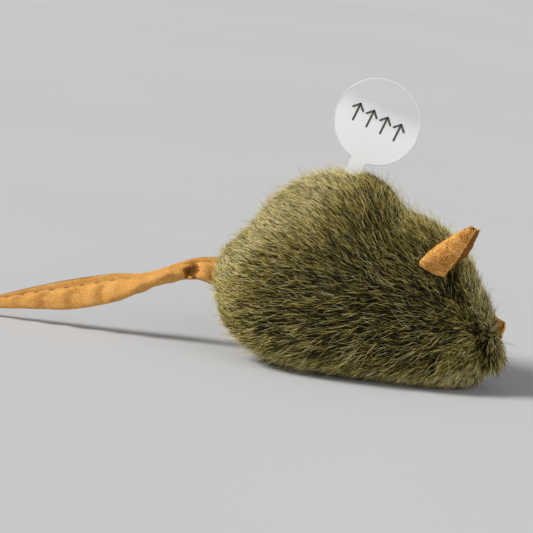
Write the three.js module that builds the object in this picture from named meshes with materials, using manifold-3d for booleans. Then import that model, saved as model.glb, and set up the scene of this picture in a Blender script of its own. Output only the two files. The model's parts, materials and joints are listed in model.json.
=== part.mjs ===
// A plush toy mouse with a squeaking sound module, standing on its belly.
// Millimetres. +X is the nose, +Y the mouse's left, +Z up. The origin is the middle of the flat belly.
import * as THREE from "three";
import { mergeVertices } from "three/addons/utils/BufferGeometryUtils.js";
import Module from "manifold-3d";

const wasm = await Module();
wasm.setup();

// ---------------------------------------------------------------- driving dimensions

const GAP = 0.3; // clearance between neighbouring pieces
const FAR = 200; // half-size of a cutting block that is larger than the toy
const OVERCUT = 1; // how far a cut runs past the face it opens

const CLOTH = 3; // fur cloth: backing and the lower half of the pile
const BELLY_SEAM = 7; // height of the seam round the belly panel
const NECK = 12; // where the head filling meets the body filling
const GIRTH_LEVEL = 0.43; // height of the widest line, as a share of the body's height
const FULLNESS = 2.25; // exponent of the cross-section: 2 is an ellipse, more is squarer

// Side outline of the sewn body, from the rump over the back to the nose, as [x, z].
const BACK_LINE = [
  [-44.6, 23.6],
  [-42.2, 32.2],
  [-34.5, 41.5],
  [-28, 50.4],
  [-21, 56],
  [-11.5, 59],
  [-3.5, 58.8],
  [3, 56.8],
  [7, 53],
  [11.6, 49.4],
  [17, 48],
  [24, 44.8],
  [31, 38.5],
  [36.6, 30],
  [41.6, 22],
  [44, 13.2],
];
// The same from the rump under the belly to the nose. Below zero it is pressed flat.
const BELLY_LINE = [
  [-44.6, 23.6],
  [-40.4, 14],
  [-33.5, 6.5],
  [-26, 1],
  [-12, -1.4],
  [12, -1.6],
  [30, -1],
  [38.5, 2],
  [42.2, 6.6],
  [44, 13.2],
];
// Half of the body's width at even steps from the rump to the nose.
const HALF_WIDTHS = [0, 12.5, 20, 24.2, 25, 23.4, 20.6, 17.6, 13.6, 8, 0];

const TAB_TILT = THREE.MathUtils.degToRad(20); // the tab leans forward from upright
const MODULE_CENTRE = new THREE.Vector3(-17.6, 0, 31);
const FILM = 0.25; // thickness of the tab's film
const TAB_WIDTH = 4.8;
const TAB_DISC_RADIUS = 13.3;
const TAB_DISC_HEIGHT = 50.1; // centre of the disc above the cells' centre
const TAB_FOOT = -5; // inner end of the strip, past the middle of the cells

const CASE_RADIUS = 15;
const CASE_CHAMFER = 2;
const CASE_WALL = 1.2;
const CASE_FLOOR = -11.5; // outer faces of the case, measured from the film
const CASE_RIM = 7;
const LEAD_OPENING = 3.2; // width of the opening in the pocket's wall for the battery lead
const LID_THICKNESS = 1.6;
const LID_CHAMFER = 0.8;
const LID_LIP = 1.5; // depth of the lip inside the base's rim
const LIP_THICKNESS = 1;
const SOUND_HOLE_RADIUS = 0.9;
const SOUND_HOLE_RING = 5; // radius of the ring of sound holes
const SOUND_HOLES = 6;
const CELL_RADIUS = 5.8;
const CELL_HEIGHT = 3.05;
const CELL_EDGE = 0.3; // rounding of a cell's can
const CELL_CAP_INSET = 0.9; // the raised cap is this much smaller than the can
const CELL_CAP_RISE = 0.5;
const CELL_SPACING = 0.06;
const CELL_COUNT = 3;
const POCKET_WALL = 1;
const POST_RADIUS = 2;
const POST_PLACE = 7.2; // posts stand at plus and minus this along X, and minus this along Z
const SCREW_RADIUS = 0.9;
const SCREW_LENGTH = 6.5;
const SCREW_POINT = 1.2; // length of the screw's tapered end
const SCREW_HEAD_RADIUS = 1.6;
const SCREW_HEAD = 0.8;
const DRIVE_DEPTH = 0.35; // the cross cut in the screw's head
const DRIVE_LENGTH = 2;
const DRIVE_WIDTH = 0.4;
const BOARD_RADIUS = 12.6;
const BOARD_LEVEL = 3.6;
const BOARD_THICKNESS = 1;
const SENSOR_PLACE = new THREE.Vector3(-9.6, 0, 1.5); // the shake sensor's place under the board
const SENSOR_RADIUS = 2.2;
const SENSOR_FOOT = 1.2;
const PIN_RADIUS = 0.4;
const PIN_LENGTH = 5.5;
const COIL_RADIUS = 1.5;
const COIL_LENGTH = 7;
const COIL_TURNS = 5;
const COIL_WIRE = 0.25; // radius of the coil's wire
const CONTACT = 0.3; // thickness of the sheet-metal contacts
const PIEZO_RADIUS = 8.5;
const CERAMIC_RADIUS = 6;
const PIEZO_THICKNESS = 0.3;
const LEAD_RADIUS = 0.4;

// The tail's middle line, from the rump to the tip, as [x, z, height of the strip].
const TAIL = [
  [-45.2, 24.6, 7],
  [-52, 24.3, 6.2],
  [-61, 21.8, 5.6],
  [-69, 18.5, 6.6],
  [-78, 15.3, 9.8],
  [-93, 10.8, 10],
  [-105, 8, 7.6],
  [-117, 5, 4.6],
  [-127, 2.4, 3],
];
const TAIL_ROOT_THICKNESS = 1.6;
const TAIL_THICKNESS = 3;
const TAIL_THINNING = 0.4; // share of the thickness lost by the tip

const EAR_THICKNESS = 1.2;
const EAR_WIDTHS = [10, 10.8, 10.8, 10, 8.6, 6.6]; // at even steps from the base to the tip
const EAR_CUP = 0.9; // half-angle of the curl across the ear, in radians
// Each ear's middle line from base to tip, and the way its hollow faces.
const EAR_RIGHT_LINE = [
  [21.6, -16.6, 38.4],
  [27.4, -21, 44],
  [35.8, -28, 52.4],
];
const EAR_RIGHT_HOLLOW = [0.5, 0.65, 0.15];
// The left ear has flopped forward over the cheek.
const EAR_LEFT_LINE = [
  [25.5, 17.9, 34.5],
  [31, 23.9, 17.5],
  [43.6, 13.5, 18.6],
];
const EAR_LEFT_HOLLOW = [-0.1, -0.9, -0.4];

// ---------------------------------------------------------------- geometry helpers

// A closed mesh as a manifold solid.
function solid(geometry, matrix = new THREE.Matrix4()) {
  const bare = new THREE.BufferGeometry();
  const source = geometry.index ? geometry.toNonIndexed() : geometry;
  bare.setAttribute("position", source.getAttribute("position").clone());
  bare.applyMatrix4(matrix);
  const merged = mergeVertices(bare, 1e-4);
  return new wasm.Manifold(
    new wasm.Mesh({
      numProp: 3,
      vertProperties: merged.attributes.position.array,
      triVerts: new Uint32Array(merged.index.array),
    }),
  );
}

// A manifold solid as a three.js geometry.
function geometryOf(made) {
  const mesh = made.getMesh();
  const points = new Float32Array(mesh.numVert * 3);
  for (let i = 0; i < mesh.numVert; i++) {
    points.set(mesh.vertProperties.subarray(i * mesh.numProp, i * mesh.numProp + 3), i * 3);
  }
  return new THREE.BufferGeometry()
    .setAttribute("position", new THREE.BufferAttribute(points, 3))
    .setIndex(new THREE.BufferAttribute(new Uint32Array(mesh.triVerts), 1));
}

// A block between two corners.
function block(low, high, matrix) {
  const size = high.map((value, i) => value - low[i]);
  const geometry = new THREE.BoxGeometry(...size);
  geometry.translate(...high.map((value, i) => (value + low[i]) / 2));
  return solid(geometry, matrix);
}

// A cylinder along Y between two levels, standing at (x, z).
function roundBar(radius, from, to, x = 0, z = 0, sides = 24) {
  const geometry = new THREE.CylinderGeometry(radius, radius, to - from, sides);
  geometry.translate(x, (from + to) / 2, z);
  return geometry;
}

// Turns the faces of a closed mesh round if the mesh is inside out.
function outward(geometry) {
  const places = geometry.getAttribute("position");
  const index = geometry.getIndex().array;
  const [a, b, c] = [new THREE.Vector3(), new THREE.Vector3(), new THREE.Vector3()];
  let volume = 0;
  for (let i = 0; i < index.length; i += 3) {
    a.fromBufferAttribute(places, index[i]);
    b.fromBufferAttribute(places, index[i + 1]);
    c.fromBufferAttribute(places, index[i + 2]);
    volume += a.dot(b.cross(c));
  }
  if (volume < 0) {
    for (let i = 0; i < index.length; i += 3) {
      [index[i + 1], index[i + 2]] = [index[i + 2], index[i + 1]];
    }
  }
  return geometry;
}

function meshOf(points, faces) {
  const geometry = new THREE.BufferGeometry().setFromPoints(points);
  geometry.setIndex(faces);
  return outward(geometry);
}

// The faces that join each ring of points to the next. first is the number of the rings' first point.
function ringFaces(rings, first) {
  const count = rings[0].length;
  const faces = [];
  for (let j = 0; j < count; j++) {
    const next = (j + 1) % count;
    for (let i = 0; i < rings.length - 1; i++) {
      const a = first + i * count;
      const b = a + count;
      faces.push(a + j, a + next, b + next, a + j, b + next, b + j);
    }
  }
  return faces;
}

// A closed skin over a row of rings of points, closed at each end by a fan to one point.
function loft(rings, firstPoint, lastPoint) {
  const count = rings[0].length;
  const points = [firstPoint, ...rings.flat(), lastPoint];
  const last = points.length - 1;
  const faces = ringFaces(rings, 1);
  for (let j = 0; j < count; j++) {
    const next = (j + 1) % count;
    faces.push(0, 1 + next, 1 + j);
    faces.push(last, last - count + j, last - count + next);
  }
  return meshOf(points, faces);
}

// The same for a thin curved band, whose rings run out along one face and back along the other.
// Each end is closed by a strip between the two faces.
function bandLoft(rings) {
  const count = rings[0].length;
  const last = (rings.length - 1) * count;
  const faces = ringFaces(rings, 0);
  for (let j = 0; j < count / 2 - 1; j++) {
    const back = count - 1 - j;
    faces.push(j, back, j + 1, back, back - 1, j + 1);
    faces.push(last + j, last + j + 1, last + back, last + back, last + j + 1, last + back - 1);
  }
  return meshOf(rings.flat(), faces);
}

const centreOf = (ring) =>
  ring.reduce((sum, point) => sum.add(point), new THREE.Vector3()).divideScalar(ring.length);

// The value of an evenly stepped list at a share t of its length, smoothly between the steps.
function along(values, t) {
  const curve = new THREE.CatmullRomCurve3(values.map((value, i) => new THREE.Vector3(i, value, 0)));
  return curve.getPoint(t).y;
}

// ---------------------------------------------------------------- the body's surface

const sideLine = (points) =>
  new THREE.CatmullRomCurve3(points.map(([x, z]) => new THREE.Vector3(x, 0, z)), false, "centripetal");
const backCurve = sideLine(BACK_LINE);
const bellyCurve = sideLine(BELLY_LINE);

const signedPower = (value, power) => Math.sign(value) * Math.abs(value) ** power;

// The body's surface, drawn in by an inset and pressed flat underneath.
function bodySurface(inset) {
  const stations = 26;
  const corners = 30;
  const rings = [];
  for (let i = 1; i < stations; i++) {
    const t = i / stations;
    const top = backCurve.getPointAt(t);
    const bottom = bellyCurve.getPointAt(t);
    const middle = bottom.clone().lerp(top, GIRTH_LEVEL);
    const halfWidth = along(HALF_WIDTHS, t);
    rings.push(
      Array.from({ length: corners }, (_, j) => {
        const angle = (2 * Math.PI * j) / corners;
        const rise = Math.abs(Math.cos(angle)) ** (2 / FULLNESS);
        const point = middle.clone().lerp(Math.cos(angle) > 0 ? top : bottom, rise);
        point.y = halfWidth * signedPower(Math.sin(angle), 2 / FULLNESS);
        return point;
      }),
    );
  }
  const geometry = loft(rings, backCurve.getPointAt(0), backCurve.getPointAt(1));
  geometry.computeVertexNormals();
  const places = geometry.getAttribute("position");
  const normals = geometry.getAttribute("normal");
  for (let i = 0; i < places.count; i++) {
    places.setX(i, places.getX(i) - inset * normals.getX(i));
    places.setY(i, places.getY(i) - inset * normals.getY(i));
    places.setZ(i, Math.max(places.getZ(i) - inset * normals.getZ(i), inset));
  }
  return geometry;
}

// ---------------------------------------------------------------- materials

const finish = (color, roughness, metalness = 0, extra = {}) =>
  new THREE.MeshStandardMaterial({ color, roughness, metalness, ...extra });

const furFinish = () => finish(0x6b6440, 0.95);
const suedeFinish = () => finish(0xd6a157, 0.9);
const fibreFinish = () => finish(0xe9e7e0, 1);
const filmFinish = () => finish(0xf2f2f0, 0.1, 0, { transparent: true, opacity: 0.5 });
const caseFinish = () => finish(0xdedbd0, 0.45);
const boardFinish = () => finish(0x2f6b3c, 0.5);
const epoxyFinish = () => finish(0x15151a, 0.35);
const steelFinish = () => finish(0xc4c6c8, 0.3, 1);
const brassFinish = () => finish(0xc9a24a, 0.35, 1);
const ceramicFinish = () => finish(0xd9d4c3, 0.6);
const wireFinish = (color) => finish(color, 0.5);

function piece(name, geometry, material) {
  const mesh = new THREE.Mesh(geometry, material);
  mesh.name = name;
  return mesh;
}

// ---------------------------------------------------------------- fur cloth and filling

const modulePlace = new THREE.Matrix4().compose(
  MODULE_CENTRE,
  new THREE.Quaternion().setFromAxisAngle(new THREE.Vector3(0, 1, 0), TAB_TILT),
  new THREE.Vector3(1, 1, 1),
);

// The slit in the back seam and in the filling that the tab's strip runs through.
function tabSlit() {
  const side = TAB_WIDTH / 2 + 2 * GAP;
  return block([-side, -2 * GAP, 0], [side, 2 * GAP, FAR], modulePlace);
}

function furPanels() {
  const shell = solid(bodySurface(0)).subtract(solid(bodySurface(CLOTH)));
  const above = BELLY_SEAM + GAP / 2;
  const halves = [
    ["fur_right_side", block([-FAR, -FAR, above], [FAR, -GAP / 2, FAR])],
    ["fur_left_side", block([-FAR, GAP / 2, above], [FAR, FAR, FAR])],
  ];
  const sides = halves.map(([name, half]) =>
    piece(name, geometryOf(shell.intersect(half).subtract(tabSlit())), furFinish()),
  );
  const below = block([-FAR, -FAR, -FAR], [FAR, FAR, BELLY_SEAM - GAP / 2]);
  return [...sides, piece("fur_belly", geometryOf(shell.intersect(below)), furFinish())];
}

function fillings() {
  const inside = solid(bodySurface(CLOTH + GAP));
  const pocket = roundBar(CASE_RADIUS + GAP, CASE_FLOOR - GAP, CASE_RIM + LID_THICKNESS + 3 * GAP);
  const front = block([NECK + GAP / 2, -FAR, -FAR], [FAR, FAR, FAR]);
  const back = block([-FAR, -FAR, -FAR], [NECK - GAP / 2, FAR, FAR]);
  const rear = inside.intersect(back).subtract(solid(pocket, modulePlace)).subtract(tabSlit());
  return [
    piece("head_filling", geometryOf(inside.intersect(front)), fibreFinish()),
    piece("body_filling", geometryOf(rear), fibreFinish()),
  ];
}

// ---------------------------------------------------------------- tail and ears

function tail() {
  const line = new THREE.CatmullRomCurve3(TAIL.map(([x, z]) => new THREE.Vector3(x, 0, z)));
  const heights = TAIL.map(([, , height]) => height);
  const stations = 24;
  const corners = 10;
  const rings = [];
  for (let i = 0; i <= stations; i++) {
    const t = i / stations;
    const centre = line.getPoint(t);
    const up = line.getTangent(t).cross(new THREE.Vector3(0, 1, 0));
    const rise = up.multiplyScalar(along(heights, t) / 2);
    const half = (i === 0 ? TAIL_ROOT_THICKNESS : TAIL_THICKNESS * (1 - TAIL_THINNING * t)) / 2;
    rings.push(
      Array.from({ length: corners }, (_, j) => {
        const angle = (2 * Math.PI * j) / corners;
        const point = centre.clone().addScaledVector(rise, Math.cos(angle));
        point.y = half * Math.sin(angle);
        return point;
      }),
    );
  }
  return piece("tail", loft(rings, centreOf(rings[0]), centreOf(rings.at(-1))), suedeFinish());
}

// A cupped leaf of two layers of suede along a curve. The hollow side faces the given direction.
function ear(name, line, hollowSide) {
  const stations = 8;
  const across = 6;
  const curve = new THREE.QuadraticBezierCurve3(...line.map((point) => new THREE.Vector3(...point)));
  const facing = new THREE.Vector3(...hollowSide);
  const rings = [];
  for (let i = 0; i <= stations; i++) {
    const t = i / stations;
    const tangent = curve.getTangent(t);
    const side = tangent.clone().cross(facing).normalize();
    const hollow = side.clone().cross(tangent).normalize();
    const radius = along(EAR_WIDTHS, t) / (2 * EAR_CUP);
    const arc = (distance, share) => {
      const angle = EAR_CUP * (2 * share - 1);
      return curve
        .getPoint(t)
        .addScaledVector(side, distance * Math.sin(angle))
        .addScaledVector(hollow, radius - distance * Math.cos(angle));
    };
    const shares = Array.from({ length: across + 1 }, (_, j) => j / across);
    const outer = shares.map((share) => arc(radius + EAR_THICKNESS / 2, share));
    const inner = shares.map((share) => arc(radius - EAR_THICKNESS / 2, 1 - share));
    rings.push([...outer, ...inner]);
  }
  return piece(name, bandLoft(rings), suedeFinish());
}

// ---------------------------------------------------------------- sound module, round the film at y = 0

function caseBase() {
  const inner = CASE_RADIUS - CASE_WALL;
  const floor = CASE_FLOOR + CASE_WALL;
  const pocket = CELL_RADIUS + GAP;
  const pocketTop = -3 * GAP;
  const profile = [
    [0, CASE_FLOOR],
    [CASE_RADIUS - CASE_CHAMFER, CASE_FLOOR],
    [CASE_RADIUS, CASE_FLOOR + CASE_CHAMFER],
    [CASE_RADIUS, CASE_RIM],
    [inner, CASE_RIM],
    [inner, floor],
    [pocket + POCKET_WALL, floor],
    [pocket + POCKET_WALL, pocketTop],
    [pocket, pocketTop],
    [pocket, floor],
    [0, floor],
  ];
  let made = solid(new THREE.LatheGeometry(profile.map(([r, y]) => new THREE.Vector2(r, y)), 32));
  for (const x of [-POST_PLACE, POST_PLACE]) {
    const post = roundBar(POST_RADIUS, floor - GAP / 2, CASE_RIM - GAP, x, -POST_PLACE, 16);
    const hole = roundBar(SCREW_RADIUS + GAP, CASE_RIM - SCREW_LENGTH, CASE_RIM + OVERCUT, x, -POST_PLACE, 12);
    made = made.add(solid(post)).subtract(solid(hole));
  }
  const slot = TAB_WIDTH / 2 + 2 * GAP;
  const tabSlot = block([-slot, -1.5 * GAP, inner - OVERCUT], [slot, 1.5 * GAP, CASE_RADIUS + OVERCUT]);
  // The pocket's wall is open beside the plate contact, where the battery lead comes out.
  const leadOpening = block(
    [CELL_RADIUS - OVERCUT, floor, -LEAD_OPENING / 2],
    [pocket + POCKET_WALL + GAP, pocketTop + OVERCUT, LEAD_OPENING / 2],
  );
  made = made.subtract(tabSlot).subtract(leadOpening);
  return piece("sound_case_base", geometryOf(made), caseFinish());
}

function caseLid() {
  const under = CASE_RIM + GAP;
  const top = under + LID_THICKNESS;
  const lipOuter = CASE_RADIUS - CASE_WALL - GAP;
  const profile = [
    [0, under],
    [lipOuter - LIP_THICKNESS, under],
    [lipOuter - LIP_THICKNESS, under - LID_LIP],
    [lipOuter, under - LID_LIP],
    [lipOuter, under],
    [CASE_RADIUS, under],
    [CASE_RADIUS, top - LID_CHAMFER],
    [CASE_RADIUS - LID_CHAMFER, top],
    [0, top],
  ];
  let made = solid(new THREE.LatheGeometry(profile.map(([r, y]) => new THREE.Vector2(r, y)), 32));
  const drill = (radius, x, z, from = under - OVERCUT) => {
    made = made.subtract(solid(roundBar(radius, from, top + OVERCUT, x, z, 12)));
  };
  drill(SOUND_HOLE_RADIUS, 0, 0);
  for (let i = 0; i < SOUND_HOLES; i++) {
    const angle = (2 * Math.PI * i) / SOUND_HOLES;
    drill(SOUND_HOLE_RADIUS, SOUND_HOLE_RING * Math.cos(angle), SOUND_HOLE_RING * Math.sin(angle));
  }
  for (const x of [-POST_PLACE, POST_PLACE]) {
    drill(SCREW_RADIUS + GAP, x, -POST_PLACE);
    drill(SCREW_HEAD_RADIUS + GAP, x, -POST_PLACE, top - SCREW_HEAD);
  }
  return piece("sound_case_lid", geometryOf(made), caseFinish());
}

function caseScrew(name, x) {
  const seat = CASE_RIM + GAP + LID_THICKNESS - SCREW_HEAD + GAP;
  const tip = CASE_RIM - SCREW_LENGTH + GAP;
  const profile = [
    [0, tip],
    [SCREW_RADIUS, tip + SCREW_POINT],
    [SCREW_RADIUS, seat],
    [SCREW_HEAD_RADIUS, seat],
    [SCREW_HEAD_RADIUS, seat + GAP],
    [SCREW_RADIUS, seat + SCREW_HEAD],
    [0, seat + SCREW_HEAD],
  ];
  const body = solid(new THREE.LatheGeometry(profile.map(([r, y]) => new THREE.Vector2(r, y)), 16));
  const top = seat + SCREW_HEAD;
  const driveSlot = (alongX, alongZ) =>
    block([-alongX / 2, top - DRIVE_DEPTH, -alongZ / 2], [alongX / 2, top + OVERCUT, alongZ / 2]);
  const cross = driveSlot(DRIVE_LENGTH, DRIVE_WIDTH).add(driveSlot(DRIVE_WIDTH, DRIVE_LENGTH));
  const mesh = piece(name, geometryOf(body.subtract(cross)), steelFinish());
  mesh.position.set(x, 0, -POST_PLACE);
  return mesh;
}

function circuitBoard() {
  const top = BOARD_LEVEL + BOARD_THICKNESS;
  let made = solid(roundBar(BOARD_RADIUS, BOARD_LEVEL, top, 0, 0, 32));
  for (const x of [-POST_PLACE, POST_PLACE]) {
    const notch = roundBar(POST_RADIUS + GAP, BOARD_LEVEL - OVERCUT, top + OVERCUT, x, -POST_PLACE, 16);
    made = made.subtract(solid(notch));
  }
  return piece("circuit_board", geometryOf(made), boardFinish());
}

// Parts soldered on the board's two faces.
function boardParts() {
  const top = BOARD_LEVEL + BOARD_THICKNESS + GAP / 2;
  const under = BOARD_LEVEL - GAP / 2;
  const dome = [
    [0, top],
    [2.6, top],
    [2.2, top + 0.5],
    [1.2, top + 0.8],
    [0, top + 0.9],
  ];
  const chip = new THREE.LatheGeometry(dome.map(([r, y]) => new THREE.Vector2(r, y)), 20);
  chip.translate(-3, 0, 3);
  const resistor = new THREE.BoxGeometry(1.6, 0.5, 0.8);
  resistor.translate(3.5, top + 0.25, 4.5);
  const capacitor = [
    [0, under - 5],
    [1.8, under - 5],
    [2, under - 4.8],
    [2, under],
    [0, under],
  ];
  const can = new THREE.LatheGeometry(capacitor.map(([r, y]) => new THREE.Vector2(r, y)), 20);
  can.translate(-6, 0, 8);
  return [
    piece("chip_cover", chip, epoxyFinish()),
    piece("resistor", resistor, epoxyFinish()),
    piece("capacitor", can, epoxyFinish()),
  ];
}

// The shake switch: a coil spring that swings onto the pin inside it.
function shakeSensor() {
  const foot = BOARD_LEVEL - GAP / 2;
  const seat = foot - SENSOR_FOOT;
  const base = roundBar(SENSOR_RADIUS, seat, foot, 0, 0, 20);
  const pin = roundBar(PIN_RADIUS, seat - PIN_LENGTH, seat - GAP / 2, 0, 0, 10);
  class Coil extends THREE.Curve {
    getPoint(t, target = new THREE.Vector3()) {
      const angle = 2 * Math.PI * COIL_TURNS * t;
      const y = seat - 2 * GAP - COIL_LENGTH * t;
      return target.set(COIL_RADIUS * Math.cos(angle), y, COIL_RADIUS * Math.sin(angle));
    }
  }
  const wire = new THREE.Shape().absarc(0, 0, COIL_WIRE, 0, 2 * Math.PI);
  const coil = new THREE.ExtrudeGeometry(wire, {
    steps: COIL_TURNS * 10,
    curveSegments: 3,
    extrudePath: new Coil(),
  });
  const parts = [
    piece("sensor_base", base, caseFinish()),
    piece("sensor_pin", pin, brassFinish()),
    piece("sensor_spring", coil, steelFinish()),
  ];
  for (const part of parts) part.position.copy(SENSOR_PLACE);
  return parts;
}

function piezo() {
  const plateUnder = CASE_RIM - PIEZO_THICKNESS;
  const ceramicTop = plateUnder - GAP / 2;
  const ceramic = roundBar(CERAMIC_RADIUS, ceramicTop - PIEZO_THICKNESS, ceramicTop);
  return [
    piece("piezo_plate", roundBar(PIEZO_RADIUS, plateUnder, CASE_RIM, 0, 0, 32), brassFinish()),
    piece("piezo_ceramic", ceramic, ceramicFinish()),
  ];
}

function cells() {
  return Array.from({ length: CELL_COUNT }, (_, i) => {
    const top = -GAP - i * (CELL_HEIGHT + CELL_SPACING);
    const bottom = top - CELL_HEIGHT;
    const profile = [
      [0, bottom],
      [CELL_RADIUS - CELL_EDGE, bottom],
      [CELL_RADIUS, bottom + CELL_EDGE],
      [CELL_RADIUS, top - CELL_CAP_RISE],
      [CELL_RADIUS - CELL_CAP_INSET, top - CELL_CAP_RISE + 0.1],
      [CELL_RADIUS - CELL_CAP_INSET - 0.1, top],
      [0, top],
    ];
    const geometry = new THREE.LatheGeometry(profile.map(([r, y]) => new THREE.Vector2(r, y)), 28);
    return piece("button_cell_" + (i + 1), geometry, steelFinish());
  });
}

// A strip of sheet metal bent along [x, y] points and as wide as the given width along Z.
function bentStrip(outline, width) {
  const shape = new THREE.Shape(outline.map(([x, y]) => new THREE.Vector2(x, y)));
  const geometry = new THREE.ExtrudeGeometry(shape, { depth: width, bevelEnabled: false });
  geometry.translate(0, 0, -width / 2);
  return geometry;
}

function contacts() {
  const low = FILM / 2 + 0.15;
  const high = BOARD_LEVEL - GAP / 2;
  const spring = [
    [-5.5, high - CONTACT],
    [-3.2, high - CONTACT],
    [-0.8, low],
    [1, low],
    [3.4, low + 1.4],
    [3.2, low + 1.6],
    [0.9, low + CONTACT],
    [-0.6, low + CONTACT],
    [-3, high],
    [-5.5, high],
  ];
  const plateTop = -GAP - CELL_COUNT * (CELL_HEIGHT + CELL_SPACING) - 0.05;
  const plate = [
    [-4.5, plateTop - CONTACT],
    [8.3, plateTop - CONTACT],
    [8.3, plateTop + 1.4],
    [8, plateTop + 1.4],
    [8, plateTop],
    [-4.5, plateTop],
  ];
  return [
    piece("battery_spring", bentStrip(spring, 2.4), steelFinish()),
    piece("battery_plate", bentStrip(plate, 2.4), steelFinish()),
  ];
}

// An insulated wire through a few points.
function lead(name, points, color) {
  const curve = new THREE.CatmullRomCurve3(points.map((point) => new THREE.Vector3(...point)));
  const section = new THREE.Shape().absarc(0, 0, LEAD_RADIUS, 0, 2 * Math.PI);
  const geometry = new THREE.ExtrudeGeometry(section, {
    steps: 14,
    curveSegments: 4,
    extrudePath: curve,
  });
  return piece(name, geometry, wireFinish(color));
}

function leads() {
  const under = BOARD_LEVEL - GAP / 2;
  const top = BOARD_LEVEL + BOARD_THICKNESS + GAP;
  const toBoard = [[8.9, -8, 0], [9.6, -5, 0.4], [10.4, -1, 0.2], [9.8, under, 0]];
  const toPlate = [[9.4, top, 5], [10.2, 5.6, 3], [10, 6, 0], [9.7, 6.7, -1.5]];
  const toCeramic = [[1, top, -7.4], [3.4, 5.3, -7], [5.2, 5.4, -4], [3, 5.5, -1.2]];
  return [
    lead("battery_lead", toBoard, 0xb02a22),
    lead("piezo_lead_red", toPlate, 0xb02a22),
    lead("piezo_lead_black", toCeramic, 0x222222),
  ];
}

function pullTab() {
  const half = TAB_WIDTH / 2;
  const meet = Math.asin(half / TAB_DISC_RADIUS);
  const outline = new THREE.Shape();
  outline.moveTo(-half, TAB_FOOT);
  outline.lineTo(half, TAB_FOOT);
  outline.absarc(0, TAB_DISC_HEIGHT, TAB_DISC_RADIUS, -Math.PI / 2 + meet, (3 * Math.PI) / 2 - meet);
  const geometry = new THREE.ExtrudeGeometry(outline, {
    depth: FILM,
    bevelEnabled: false,
    curveSegments: 40,
  });
  geometry.translate(0, 0, -FILM / 2);
  geometry.rotateX(Math.PI / 2);
  return piece("pull_tab", geometry, filmFinish());
}

function soundModule() {
  const group = new THREE.Group();
  group.applyMatrix4(modulePlace);
  group.add(
    caseBase(),
    caseLid(),
    caseScrew("case_screw_1", -POST_PLACE),
    caseScrew("case_screw_2", POST_PLACE),
    circuitBoard(),
    ...boardParts(),
    ...shakeSensor(),
    ...piezo(),
    ...cells(),
    ...contacts(),
    ...leads(),
    pullTab(),
  );
  return group;
}

// ---------------------------------------------------------------- the mouse

const mouse = new THREE.Group();
mouse.name = "plush_mouse";
mouse.add(
  ...furPanels(),
  ...fillings(),
  tail(),
  ear("ear_right", EAR_RIGHT_LINE, EAR_RIGHT_HOLLOW),
  ear("ear_left", EAR_LEFT_LINE, EAR_LEFT_HOLLOW),
  soundModule(),
);

export default mouse;
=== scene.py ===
"""The looks of the plush mouse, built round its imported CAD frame.

Metres, in the frame's own axes: +X is the nose, +Y the mouse's left and +Z up.
The origin is the middle of the belly.
"""

import json
import math

import bmesh
import bpy
import numpy as np
from mathutils import Matrix, Vector
from mathutils.bvhtree import BVHTree
from mathutils.kdtree import KDTree


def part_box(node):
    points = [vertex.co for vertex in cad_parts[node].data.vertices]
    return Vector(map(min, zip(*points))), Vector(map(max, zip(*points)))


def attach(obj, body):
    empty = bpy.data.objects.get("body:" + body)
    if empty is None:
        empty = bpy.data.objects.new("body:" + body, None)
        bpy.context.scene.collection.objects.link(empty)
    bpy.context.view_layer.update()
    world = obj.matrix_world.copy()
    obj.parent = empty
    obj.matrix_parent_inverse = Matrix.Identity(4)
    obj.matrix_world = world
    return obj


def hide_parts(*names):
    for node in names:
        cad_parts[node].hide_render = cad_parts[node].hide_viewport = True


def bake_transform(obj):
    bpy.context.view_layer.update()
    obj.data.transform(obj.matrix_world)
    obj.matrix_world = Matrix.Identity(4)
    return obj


MM = 0.001
SEED = 20

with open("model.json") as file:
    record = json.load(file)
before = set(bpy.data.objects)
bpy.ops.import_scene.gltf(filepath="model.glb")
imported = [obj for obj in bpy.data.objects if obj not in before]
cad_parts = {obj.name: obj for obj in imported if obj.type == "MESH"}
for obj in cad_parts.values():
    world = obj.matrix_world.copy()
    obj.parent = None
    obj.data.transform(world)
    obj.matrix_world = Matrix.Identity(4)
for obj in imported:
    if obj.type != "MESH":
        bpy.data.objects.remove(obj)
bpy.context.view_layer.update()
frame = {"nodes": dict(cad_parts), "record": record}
nodes = frame["nodes"]

PANELS = ("fur_right_side", "fur_left_side", "fur_belly")
PANEL_TITLES = ("right_side", "left_side", "belly")  # how the names of each panel's pieces start
panel_boxes = [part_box(name) for name in PANELS]
BODY_LOW = np.min([low for low, _ in panel_boxes], axis=0)
BODY_HIGH = np.max([high for _, high in panel_boxes], axis=0)
BODY_MIDDLE = (BODY_LOW + BODY_HIGH) / 2
NOSE = np.array([BODY_HIGH[0], 0.0, 13 * MM])  # the muzzle's tip


# ---------------------------------------------------------------- small helpers


def linear(value):
    """One channel of an sRGB colour, 0 to 255, as linear light."""
    share = value / 255
    return share / 12.92 if share <= 0.04045 else ((share + 0.055) / 1.055) ** 2.4


def colour(red, green, blue):
    return (linear(red), linear(green), linear(blue), 1.0)


def unit(vectors):
    return vectors / np.maximum(np.linalg.norm(vectors, axis=-1, keepdims=True), 1e-12)


def smoothstep(low, high, value):
    share = np.clip((value - low) / (high - low), 0, 1)
    return share * share * (3 - 2 * share)


def on_right(points):
    """Points with those on the mouse's left mirrored to its right."""
    return np.stack([points[:, 0], -np.abs(points[:, 1]), points[:, 2]], axis=1)


def mesh_object(name, points, faces, materials, smooth=True):
    """A new object of a mesh, from points and faces."""
    mesh = bpy.data.meshes.new(name)
    mesh.from_pydata([tuple(p) for p in points], [], faces)
    for material in materials:
        mesh.materials.append(material)
    if smooth:
        mesh.polygons.foreach_set("use_smooth", [True] * len(mesh.polygons))
    made = bpy.data.objects.new(name, mesh)
    bpy.context.scene.collection.objects.link(made)
    return made


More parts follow.
